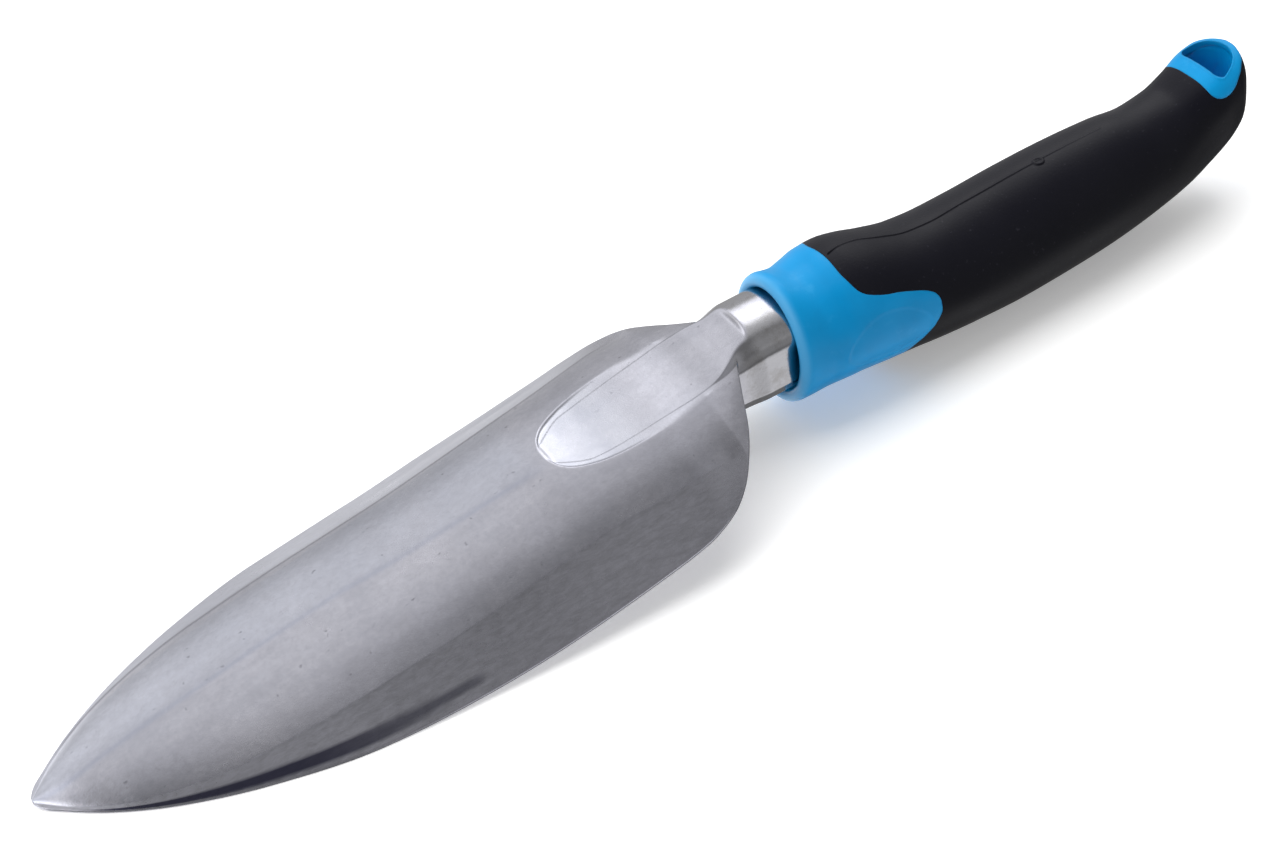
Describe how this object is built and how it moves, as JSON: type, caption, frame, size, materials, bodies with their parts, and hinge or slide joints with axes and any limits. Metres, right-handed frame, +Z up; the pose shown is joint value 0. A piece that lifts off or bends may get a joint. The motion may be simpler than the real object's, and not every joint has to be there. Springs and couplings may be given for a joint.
{
  "type": "planting trowel",
  "caption": "Hand planting trowel with a cast aluminium blade, ground edges, a hard blue handle core and a soft black grip with a hang hole.",
  "frame": {"origin": "centre of the bounding box's bottom face, on the surface that the trowel lies on", "axes": "+X from the blade's tip to the handle's end, +Z up, away from the surface, out of the blade's domed back; the hollow faces -Z"},
  "size_m": [0.3408, 0.0788, 0.0383],
  "materials": {
    "cast_aluminium": "satin",
    "blue_plastic": "satin",
    "black_rubber": "matte"
  },
  "bodies": {
    "root": {"blade": "cast_aluminium", "handle_core": "blue_plastic", "grip": "black_rubber"}
  },
  "joints": []
}
